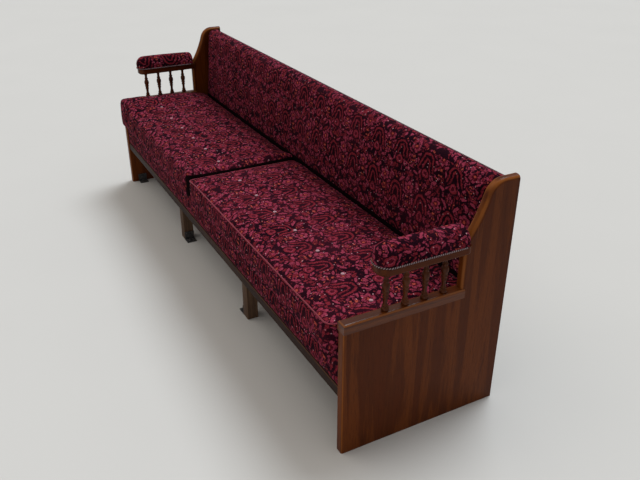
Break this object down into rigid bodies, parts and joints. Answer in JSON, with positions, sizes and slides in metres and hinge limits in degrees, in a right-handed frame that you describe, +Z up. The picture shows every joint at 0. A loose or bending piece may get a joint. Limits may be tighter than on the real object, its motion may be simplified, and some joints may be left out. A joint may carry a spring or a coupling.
{
  "type": "upholstered longitudinal bench of a narrow-gauge passenger coach",
  "caption": "Long upholstered saloon bench with loose seat cushions, a rolled back pad, shouldered wooden end boards and padded arm rests on turned spindles.",
  "frame": {"origin": "middle of the bench's footprint on the floor", "axes": "+X along the bench towards its near end, +Y from the seat's front to the coach wall, +Z up"},
  "size_m": [2.464, 0.6, 0.801],
  "materials": {
    "moquette": "cut pile cloth",
    "varnished_wood": "gloss varnish",
    "turned_wood": "gloss varnish",
    "frame_wood": "plain oiled",
    "ironwork": "black painted"
  },
  "bodies": {
    "bench_frame": {"apron_board": "frame_wood", "apron_cover": "moquette", "apron_foot_rail": "varnished_wood", "arm_pad_far": "moquette", "arm_pad_near": "moquette", "arm_rail_far": "varnished_wood", "arm_rail_near": "varnished_wood", "back_board": "frame_wood", "back_pad": "moquette", "back_post_1": "frame_wood", "back_post_2": "frame_wood", "back_post_3": "frame_wood", "back_post_4": "frame_wood", "back_top_rail": "frame_wood", "base_rail_far": "varnished_wood", "base_rail_near": "varnished_wood", "end_board_far": "varnished_wood", "end_board_near": "varnished_wood", "end_bracket_far": "ironwork", "end_bracket_near": "ironwork", "front_leg_1": "frame_wood", "front_leg_2": "frame_wood", "leg_bracket_1": "ironwork", "leg_bracket_2": "ironwork", "seat_bearer_1": "frame_wood", "seat_bearer_2": "frame_wood", "seat_bearer_3": "frame_wood", "seat_bearer_4": "frame_wood", "seat_front_rail": "frame_wood", "seat_rear_rail": "frame_wood", "seat_slat_1": "frame_wood", "seat_slat_2": "frame_wood", "seat_slat_3": "frame_wood", "seat_slat_4": "frame_wood", "seat_slat_5": "frame_wood", "spindle_far_1": "turned_wood", "spindle_far_2": "turned_wood", "spindle_far_3": "turned_wood", "spindle_far_4": "turned_wood", "spindle_near_1": "turned_wood", "spindle_near_2": "turned_wood", "spindle_near_3": "turned_wood", "spindle_near_4": "turned_wood"},
    "near_cushion": {"cushion_near": "moquette"},
    "far_cushion": {"cushion_far": "moquette"}
  },
  "joints": [
    {"name": "near_cushion_lift", "type": "slide", "parent": "bench_frame", "child": "near_cushion", "axis": [0, 0, 1], "range_m": [0, 0.12]},
    {"name": "far_cushion_lift", "type": "slide", "parent": "bench_frame", "child": "far_cushion", "axis": [0, 0, 1], "range_m": [0, 0.12]}
  ]
}
